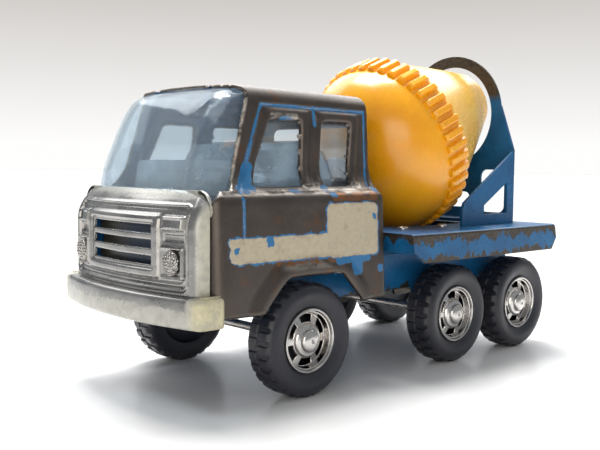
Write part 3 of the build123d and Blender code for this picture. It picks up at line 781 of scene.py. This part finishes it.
bowl_steps = 16
bowl = [(-0.4, 23.9), (0, 24.3), (0, 24.75), (-0.05, 24.8)]
bowl += [(-0.7, 24.85), (-7.3, 24.85), (-7.95, 24.8), (-8.0, 24.75)]
for i in range(1, bowl_steps + 1):
    s = 16.6 * i / bowl_steps
    bowl.append((-8.0 - s, 24.75 * sqrt(1 - (s / 18.5) ** 2)))
bowl += [(-24.75, 10.2), (-24.8, 9.6), (-24.6, 9.0), (-24.6, 4.6), (-24.85, 4.3), (-24.85, 1.52)]
bowl_points = [(a * mm, r * mm) for a, r in bowl]
verts, faces = lathe(bowl_points, TEETH * 12, drum_centre, drum_axis, drum_side, shape=tooth)
drum_bowl = new_mesh("drum_bowl_detail", verts, faces, drum_material, "drum", 28)
wall = drum_bowl.modifiers.new("wall", "SOLIDIFY")
wall.thickness = 0.9 * mm
wall.offset = 1
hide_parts("drum_bowl")

cone = [(0.0, 23.0), (0.05, 24.1), (0.6, 24.25), (1.3, 24.05)]
for i in range(1, 11):
    t = i / 10
    cone.append((1.3 + 29.7 * t, 24.05 + (11.35 - 24.05) * t + 0.25 * sin(pi * t)))
cone += [(32.2, 10.75), (33.2, 10.4), (33.7, 10.2), (34.0, 9.8), (33.8, 9.35), (33.0, 9.2)]
cone += [(31.0, 10.1), (3.0, 22.0), (0.0, 23.0)]
verts, faces = lathe([(a * mm, r * mm) for a, r in cone], 128, drum_centre, drum_axis, drum_side)
drum_cone = new_mesh("drum_cone_detail", verts, faces, cone_material, "drum", 40)
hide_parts("drum_cone")


# ---------------------------------------------------------------- grille, lamps and bumper
_, grille_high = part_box("grille_bumper")
GRILLE_X = grille_high[0] / mm - 2.35
BOW = 93.6
GRILLE_HALF = 26.6
GRILLE_TOP = 48.7
GRILLE_CORNER = 4.2
CROWN = ((40.6, 0.0), (42.2, 0.22), (43.6, 0.75), (45.2, 1.7), (46.6, 2.8), (47.8, 3.9), (48.7, 4.8))
SLOTS = (40.1, 36.8, 33.3)


def crown_drop(z):
    drop = 0.0
    for (z0, d0), (z1, d1) in zip(CROWN, CROWN[1:]):
        if z > z0:
            drop = d0 + (d1 - d0) * min(1.0, (z - z0) / (z1 - z0))
    return drop


def rounded_gap(y, z, half_y, z0, z1, corner):
    """Distance outside a rounded rectangle in front view."""
    a = abs(y) - half_y + corner
    b = abs(z - (z0 + z1) / 2) - (z1 - z0) / 2 + corner
    return sqrt(max(a, 0) ** 2 + max(b, 0) ** 2) + min(max(a, b), 0) - corner


def ridge(distance, width):
    """Height of a soft ridge across its middle line."""
    return smooth(abs(distance), width, width * 0.3)


def grille_relief(y, z):
    """Relief of the front face: two stepped frames, bars and lamp plinths."""
    height = 0.0
    outer = rounded_gap(y, z, 23.4, 27.6, 45.4, 1.6)
    height += 0.45 * ridge(outer, 0.6) - 0.55 * smooth(outer, 0.3, -0.5)
    inner = rounded_gap(y, z, 22.3, 28.6, 44.4, 1.2)
    height += 0.25 * ridge(inner, 0.45)
    panel = rounded_gap(y, z, 15.2, 29.4, 43.4, 1.0)
    height += 0.85 * smooth(panel, 0.1, -0.5)
    step = rounded_gap(y, z, 13.7, 31.0, 42.2, 0.8)
    height -= 0.55 * smooth(step, 0.0, -0.5)
    height += 0.2 * ridge(panel, 0.35)
    for side in (1, -1):
        lamp_y = side * 19.2
        plinth = rounded_gap(y - lamp_y, z, 3.5, 29.7, 36.7, 0.5)
        height += 0.9 * smooth(plinth, 0.2, -0.3) - 0.35 * smooth(plinth, -0.5, -0.9)
        marker = rounded_gap(y - lamp_y, z, 3.4, 40.1, 43.2, 0.4)
        height += 1.0 * smooth(marker, 0.2, -0.3) - 0.35 * smooth(marker, -0.5, -0.8)
        lower = rounded_gap(y - lamp_y, z, 3.2, 37.5, 39.3, 0.3)
        height -= 0.5 * smooth(lower, 0.1, -0.4)
    return height


def slot_gap(y, z):
    """Distance outside the nearest cooling slot."""
    return min(rounded_gap(y, z, 12.3, mid - 0.9, mid + 0.9, 0.25) for mid in SLOTS)


def grille_gap(u, z):
    return slot_gap(u, z) if abs(u) < 14 and 31 < z < 42 else 5.0


def grille_place(u, z, gap):
    """u runs across the face and on round both corners towards the cab."""
    face = GRILLE_HALF - 3.0
    y = max(-face, min(face, u))
    over = abs(u) - face
    radius = 3.0
    top = min(1.0, max(0.0, (z - (GRILLE_TOP - GRILLE_CORNER)) / GRILLE_CORNER))
    narrow = GRILLE_CORNER * (1 - sqrt(max(0.0, 1 - top * top)))
    x = GRILLE_X - crown_drop(z) - (BOW - sqrt(BOW**2 - y * y))
    if over > 0:
        turn = min(over / radius, pi / 2)
        y = (face + radius * sin(turn)) * (1 if u > 0 else -1)
        x -= radius * (1 - cos(turn)) + max(0.0, over - radius * pi / 2)
    x += grille_relief(u, z) if over < 0 else 0.0
    x -= curl(gap, 0.3)
    y *= 1 - narrow / GRILLE_HALF * smooth(abs(y), 10, GRILLE_HALF)
    return Vector((max(x, 59.2), y, z)) * mm


reach = GRILLE_HALF - 3.0 + 3.0 * pi / 2 + 1.6
grille_us = steps_between(-reach, reach, 0.22)
grille_vs = steps_between(22.5, GRILLE_TOP, 0.22)
cut_skin(
    "grille_detail", grille_us, grille_vs, grille_gap, grille_place, bright_plastic, 0.8
)


def bumper_section():
    """(outward, height) round the bar, from inside its foot over the ledge to the grille."""
    return (
        (-1.8, 20.6),
        (-1.8, 19.75),
        (-0.9, 19.6),
        (-0.25, 19.85),
        (-0.02, 20.5),
        (0.0, 22.8),
        (-0.02, 25.2),
        (-0.2, 25.85),
        (-0.7, 26.2),
        (-1.4, 26.3),
        (-2.2, 26.35),
        (-2.5, 26.6),
    )


def build_bumper():
    front_x, half, corner, end_x = grille_high[0] / mm, 29.4, 2.4, 57.5
    path = []
    for x in steps_between(end_x, front_x - 4.6 - corner, 1.0)[:-1]:
        path.append(((x, half), (0, 1)))
    radius = BOW + 2.35
    bow_x = front_x - radius
    for i in range(9):
        turn = pi / 2 * i / 8
        edge_y = half - corner
        corner_x = bow_x + sqrt(radius**2 - edge_y**2) - corner
        path.append(((corner_x + corner * sin(turn), edge_y + corner * cos(turn)), (sin(turn), cos(turn))))
    for y in steps_between(half - corner - 0.8, 0, 0.8)[:-1]:
        path.append(((bow_x + sqrt(radius**2 - y * y), y), (sqrt(radius**2 - y * y) / radius, y / radius)))
    whole = path + [((front_x, 0), (1, 0))]
    whole += [((x, -y), (nx, -ny)) for (x, y), (nx, ny) in reversed(path)]
    rows = []
    for (x, y), (nx, ny) in whole:
        tuck = smooth(abs(y), half - corner, half)
        row = []
        for out, z in bumper_section():
            out = max(out, -1.2 - 1.3 * (1 - tuck)) if out < -1 else out
            row.append(Vector((x + nx * out, y + ny * out, z)) * mm)
        rows.append(row)
    verts, faces = strip(rows)
    piece = new_mesh("bumper_detail", verts, faces, bright_plastic, "truck", 60)
    wall = piece.modifiers.new("wall", "SOLIDIFY")
    wall.thickness = 0.5 * mm
    wall.offset = -1
    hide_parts("grille_bumper")


build_bumper()


def lamp(name, y, z, radius):
    """Domed lens studded with small pebbles."""
    base = Vector((GRILLE_X + 0.1 - (BOW - sqrt(BOW**2 - y * y)), y, z)) * mm
    profile = [(0, radius), (0.3, radius)]
    profile += [(0.3 + 0.7 * sin(i * pi / 20), (radius - 0.2) * cos(i * pi / 20)) for i in range(10)]
    points = [(a * mm, r * mm) for a, r in profile + [(1.0, 0.01)]]
    verts, faces = lathe(points, 40, base, Vector((1, 0, 0)), Vector((0, 1, 0)))
    pitch = 0.78
    for row in range(-3, 4):
        for column in range(-3, 4):
            dy = (column + (0.5 if row % 2 else 0)) * pitch
            dz = row * pitch * 0.87
            if dy * dy + dz * dz > (radius - 0.45) ** 2:
                continue
            rise = 0.3 + 0.7 * sqrt(max(0.0, 1 - (dy * dy + dz * dz) / radius**2))
            spot = base + Vector((rise - 0.12, dy, dz)) * mm
            stud = [(a * mm, r * mm) for a, r in ((0, 0.34), (0.12, 0.31), (0.22, 0.2), (0.27, 0.01))]
            more, quads = lathe(stud, 10, spot, Vector((1, 0, 0)), Vector((0, 1, 0)))
            faces += [tuple(k + len(verts) for k in quad) for quad in quads]
            verts += more
    return new_mesh(name, verts, faces, lens_material, "truck", 50)


for side_name, side in SIDES.items():
    lamp(f"headlamp_lens_{side_name}", 19.2 * side, 33.2, 2.75)


def build_grille_back():
    """Dark sheet seen through the slots, painted shade for the shadowed inside of the grille."""
    rows = []
    for y in steps_between(-15, 15, 3):
        x = GRILLE_X - 3.4 - (BOW - sqrt(BOW**2 - y * y))
        rows.append([Vector((x + 0.6 * sin(z), y, z)) * mm for z in steps_between(31.0, 42.4, 1.9)])
    verts, faces = strip(rows)
    new_mesh("grille_painted_shade_sheet", verts, faces, slot_painted_shade(), "truck", 60)


build_grille_back()


# ---------------------------------------------------------------- cab
CAB_REAR, CAB_FRONT = 5.6, 59.15
SHEET = 0.55
FRONT_WINDOW = ((39.2, 64.4), (29.6, 64.4), (30.8, 49.6), (45.5, 49.6))
REAR_WINDOW = ((22.6, 64.3), (13.1, 64.3), (15.2, 49.6), (24.1, 49.6))
ARCH = ((46.4, 18.0), (46.3, 21.5), (39.0, 28.8), (22.0, 28.7), (15.4, 21.5), (15.2, 18.0))
# Height and x of the pillar's front edge, then of the roof lip
PILLAR = (
    (48.9, 53.0),
    (49.8, 52.2),
    (53.1, 50.5),
    (61.9, 47.9),
    (70.2, 45.6),
    (71.2, 46.0),
    (72.0, 46.8),
    (72.5, 47.4),
)
CAB_SKIN = (
    (28.95, 21.2),
    (28.5, 31.0),
    (28.0, 42.0),
    (27.82, 45.6),
    (27.68, 46.5),
    (27.35, 47.25),
    (26.7, 47.85),
    (25.8, 48.4),
    (24.95, 49.1),
    (24.2, 50.1),
    (23.5, 51.3),
    (22.95, 52.7),
    (22.6, 54.4),
    (22.3, 60.0),
    (21.75, 68.2),
)


def table(rows, value):
    """Straight-line reading of a two-column table."""
    if value <= rows[0][0]:
        return rows[0][1]
    for (a0, b0), (a1, b1) in zip(rows, rows[1:]):
        if value <= a1:
            return b0 + (b1 - b0) * (value - a0) / (a1 - a0)
    return rows[-1][1]


def cab_outline():
    """Half cross-section from the foot to the middle of the roof, evenly stepped."""
    points = list(CAB_SKIN)
    for i in range(1, 13):
        turn = pi / 2 * i / 12
        points.append((21.7 - 3.9 * (1 - cos(turn)), 68.3 + 3.95 * sin(turn)))
    points += [(y, 72.25 + 0.5 * (1 - (y / 17.8) ** 2)) for y in (14, 10, 6, 3, 0)]
    spaced = [(0.0, points[0])]
    for a, b in zip(points, points[1:]):
        spaced.append((spaced[-1][0] + sqrt((b[0] - a[0]) ** 2 + (b[1] - a[1]) ** 2), b))
    return spaced


CAB_OUTLINE = cab_outline()
CAB_LENGTH = CAB_OUTLINE[-1][0]
CAB_YS = [(s, p[0]) for s, p in CAB_OUTLINE]
CAB_ZS = [(s, p[1]) for s, p in CAB_OUTLINE]


def cab_point(s):
    """(y, z, outward y, outward z) at arc length s from the left foot over to the right foot."""
    side = 1
    if s > CAB_LENGTH:
        s, side = 2 * CAB_LENGTH - s, -1
    y, z = table(CAB_YS, s), table(CAB_ZS, s)
    e = 0.5
    dy = table(CAB_YS, min(s + e, CAB_LENGTH)) - table(CAB_YS, max(s - e, 0))
    dz = table(CAB_ZS, min(s + e, CAB_LENGTH)) - table(CAB_ZS, max(s - e, 0))
    length = sqrt(dy * dy + dz * dz)
    return side * y, z, side * dz / length, -dy / length


def cab_gap(x, s):
    """Distance from the windows, the arch and the windscreen opening."""
    y, z, _, _ = cab_point(s)
    gaps = []
    front = table(PILLAR, z) + (0.7 * (1 - (y / 21) ** 2) if z > 72.0 else 0.0)
    gaps.append(max(front - x, 48.9 - z))
    if z > 45.2 and x > CAB_FRONT - 3.2:
        gaps.append(3.2 - sqrt((x - CAB_FRONT + 3.2) ** 2 + (z - 45.2) ** 2))
    if z < 68:
        gaps.append(polygon_gap(x, z, FRONT_WINDOW))
        gaps.append(polygon_gap(x, z, REAR_WINDOW))
        gaps.append(polygon_gap(x, z, ARCH, 0.3))
    return min(gaps)


def cab_relief(x, y, z):
    """Stamped relief of the side panels: window frames, door seams and the arch flare."""
    if z > 69:
        return 0.0
    height = 0.0
    for window in (FRONT_WINDOW, REAR_WINDOW):
        d = polygon_gap(x, z, window, 0.8)
        height += 0.50 * smooth(d, 0.1, 1.0) * smooth(d, 3.3, 1.9) * smooth(z, 48.3, 50.2)
    d = polygon_gap(x, z, ARCH, 1.3)
    height += 0.95 * smooth(d, 5.2, 1.9) - 0.25 * smooth(d, 1.2, 0.0)
    seam = stroke_gap(x, z, CAB_SEAMS)
    height -= 0.40 * exp(-((seam / 0.38) ** 2))
    return height


def cab_place(x, s, gap):
    y, z, ny, nz = cab_point(s)
    height = cab_relief(x, y, z) - curl(gap, 0.55) - curl(z - 21.2, 0.9)
    height -= curl(x - CAB_REAR, 1.9)
    if z < 50:
        height -= curl(CAB_FRONT - x, 3.4)
    roof_fall = 0.75 * smooth(44 - x, 0, 60) * smooth(z, 66, 72)
    return Vector((x, y + ny * height, z + nz * height - roof_fall)) * mm


cab_xs = steps_between(CAB_REAR, CAB_FRONT, 0.3)
cab_ss = steps_between(0, 2 * CAB_LENGTH, 0.32)
cab_skin = cut_skin("cab_skin", cab_xs, cab_ss, cab_gap, cab_place, cab_paint, SHEET, flip=True)
cab_skin.data.materials.append(inner_paint)
cab_skin.modifiers["wall"].material_offset = 1
cab_skin.modifiers["wall"].material_offset_rim = 0
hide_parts("cab_shell")


def rear_wall_gap(y, z):
    """Distance from the rear wall's outline, its window and the chassis notch."""
    half = table([(p[1], p[0]) for s, p in CAB_OUTLINE[:-5]], z)
    window = rounded_gap(y, z, 15, 50.5, 64.0, 2)
    notch = max(abs(y) - 18.8, z - 30.6)
    return min(half - 1.5 - abs(y), 70.9 - z, window, notch)


def rear_wall_place(y, z, gap):
    return Vector((CAB_REAR + curl(gap, 0.4) * (1 if abs(y) < 19 else 0), y, z)) * mm


wall_ys, wall_zs = steps_between(-28, 28, 0.5), steps_between(21.2, 71.2, 0.5)
cut_skin(
    "cab_rear_wall",
    wall_ys,
    wall_zs,
    rear_wall_gap,
    rear_wall_place,
    cab_paint,
    SHEET,
    flip=True,
)


# ---------------------------------------------------------------- glazing
GLASS_FRONT = (
    (48.6, 59.5),
    (50.5, 59.35),
    (53.0, 58.75),
    (56.0, 57.75),
    (59.0, 56.5),
    (62.3, 55.2),
    (65.5, 53.6),
    (67.6, 52.4),
    (69.2, 51.2),
    (70.3, 50.0),
    (71.1, 48.8),
    (71.6, 47.0),
)


def glass_half(z):
    tuck = 0.15 * smooth(z, 67, 69.2) + 1.3 * smooth(z, 69.2, 71.6)
    return 21.55 - (z - 54) * 0.0652 - tuck


def build_glazing():
    rows = []
    corner = 6.0
    for z in steps_between(48.6, 71.6, 0.55):
        front, half = table(GLASS_FRONT, z), glass_half(z)
        shoulder = half - corner
        start_x = front + 1.5 * (1 - (shoulder / half) ** 2) - corner
        left = [(x, half) for x in steps_between(12.0, start_x, 1.6)[:-1]]
        for i in range(13):
            turn = pi * i / 24
            left.append((start_x + corner * sin(turn), shoulder + corner * cos(turn)))
        left += [(front + 1.5 * (1 - (y / half) ** 2), y) for y in steps_between(shoulder, 0, 1.2)[1:]]
        ring = left + [(x, -y) for x, y in reversed(left[:-1])]
        rows.append([Vector((x, y, z)) * mm for x, y in ring])
    count = max(len(row) for row in rows)
    rows = [even(row, count) for row in rows]
    verts, faces = strip(rows)
    outward = [face[::-1] for face in faces]
    glass = new_mesh("cab_glazing_detail", verts, outward, glazing_material, "truck", 60)
    wall = glass.modifiers.new("wall", "SOLIDIFY")
    wall.thickness = 0.8 * mm
    wall.offset = -1
    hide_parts("cab_glazing")


def even(points, count):
    """The same line with count points, evenly spaced along its length."""
    lengths = [0.0]
    for a, b in zip(points, points[1:]):
        lengths.append(lengths[-1] + (b - a).length)
    result = []
    k = 0
    for i in range(count):
        want = lengths[-1] * i / (count - 1)
        while k < len(points) - 2 and lengths[k + 1] < want:
            k += 1
        share = (want - lengths[k]) / max(1e-9, lengths[k + 1] - lengths[k])
        result.append(points[k].lerp(points[k + 1], min(1.0, share)))
    return result


build_glazing()


# ---------------------------------------------------------------- stage, light and camera
def build_floor():
    rows = []
    for x, z in ((-4.5, 0.0), (-0.6, 0.0), (0.2, 0.0), (1.4, 0.0)):
        rows.append([Vector((x, y, z)) for y in (-4.5, -1.0, 0.0, 1.0, 1.8)])
    verts, faces = strip(rows)
    mesh = bpy.data.meshes.new("floor")
    mesh.from_pydata([v[:] for v in verts], [], faces)
    floor_piece = bpy.data.objects.new("floor", mesh)
    scene.collection.objects.link(floor_piece)
    p = Paint("floor_paper")
    waves = p.noise(40, 3)
    paper = p.finish((0.84, 0.83, 0.82), 0.20, 0.0, waves, 0.3, Specular_IOR_Level=0.6)
    mesh.materials.append(paper)


def area_light(name, place, target, size, power, color=(1, 1, 1)):
    data = bpy.data.lights.new(name, "AREA")
    data.shape = "RECTANGLE"
    data.size, data.size_y = size
    data.energy = power
    data.color = color
    lamp_object = bpy.data.objects.new(name, data)
    lamp_object.location = place
    lamp_object.rotation_euler = (Vector(target) - Vector(place)).to_track_quat("-Z", "Y").to_euler()
    scene.collection.objects.link(lamp_object)


def build_light():
    world = bpy.data.worlds.new("studio")
    scene.world = world
    world.use_nodes = True
    tree = world.node_tree
    backdrop = tree.nodes["Background"]
    ambient = tree.nodes.new("ShaderNodeBackground")
    ambient.inputs[0].default_value = (0.90, 0.95, 1.0, 1)
    ambient.inputs[1].default_value = 0.46
    # Painted shade on the paper sweep behind the toy: the backdrop the camera sees fades from white at the
    # horizon to warm grey
    where = tree.nodes.new("ShaderNodeTexCoord")
    split = tree.nodes.new("ShaderNodeSeparateXYZ")
    tree.links.new(where.outputs["Generated"], split.inputs[0])
    fade = tree.nodes.new("ShaderNodeMapRange")
    fade.inputs["From Min"].default_value = 0.02
    fade.inputs["From Max"].default_value = 0.20
    tree.links.new(split.outputs[2], fade.inputs["Value"])
    ramp = tree.nodes.new("ShaderNodeMix")
    ramp.data_type = "RGBA"
    ramp.inputs[6].default_value = (1.0, 0.995, 0.985, 1)
    # Painted shade: the warm grey higher up the sweep
    ramp.inputs[7].default_value = (0.60, 0.57, 0.545, 1)
    tree.links.new(fade.outputs[0], ramp.inputs[0])
    tree.links.new(ramp.outputs[2], backdrop.inputs[0])
    ray = tree.nodes.new("ShaderNodeLightPath")
    both = tree.nodes.new("ShaderNodeMixShader")
    tree.links.new(ray.outputs["Is Camera Ray"], both.inputs[0])
    tree.links.new(ambient.outputs[0], both.inputs[1])
    tree.links.new(backdrop.outputs[0], both.inputs[2])
    tree.links.new(both.outputs[0], tree.nodes["World Output"].inputs[0])
    area_light("overhead", (-0.06, -0.17, 0.60), (0, 0, 0.03), (0.34, 0.28), 6.6)
    area_light("front_fill", (0.60, 0.55, 0.22), (0, 0, 0.04), (0.5, 0.4), 2.0, (1.0, 0.93, 0.84))
    area_light("sweep", (-2.3, -2.4, 2.2), (-2.5, -2.6, 0), (5.0, 5.0), 300)
    scene.view_settings.view_transform = "Standard"


def build_camera():
    """Camera at the toy's front left, low, as close as the perspective asks."""
    yaw, pitch, roll = 0.83097, 0.07375, 0.00895
    forward = Vector((-cos(yaw) * cos(pitch), -sin(yaw) * cos(pitch), -sin(pitch)))
    right = forward.cross(Vector((0, 0, 1))).normalized()
    up = right.cross(forward)
    turned_right = right * cos(roll) + up * sin(roll)
    turned_up = up * cos(roll) - right * sin(roll)
    data = bpy.data.cameras.new("camera")
    data.lens = 50.27
    data.sensor_width = 36
    data.clip_start = 0.01
    camera = bpy.data.objects.new("camera", data)
    camera.matrix_world = Matrix(
        (
            (turned_right.x, turned_up.x, -forward.x, 0.16332),
            (turned_right.y, turned_up.y, -forward.y, 0.16867),
            (turned_right.z, turned_up.z, -forward.z, 0.05471),
            (0, 0, 0, 1),
        )
    )
    scene.collection.objects.link(camera)
    scene.camera = camera


build_floor()
build_light()
build_camera()
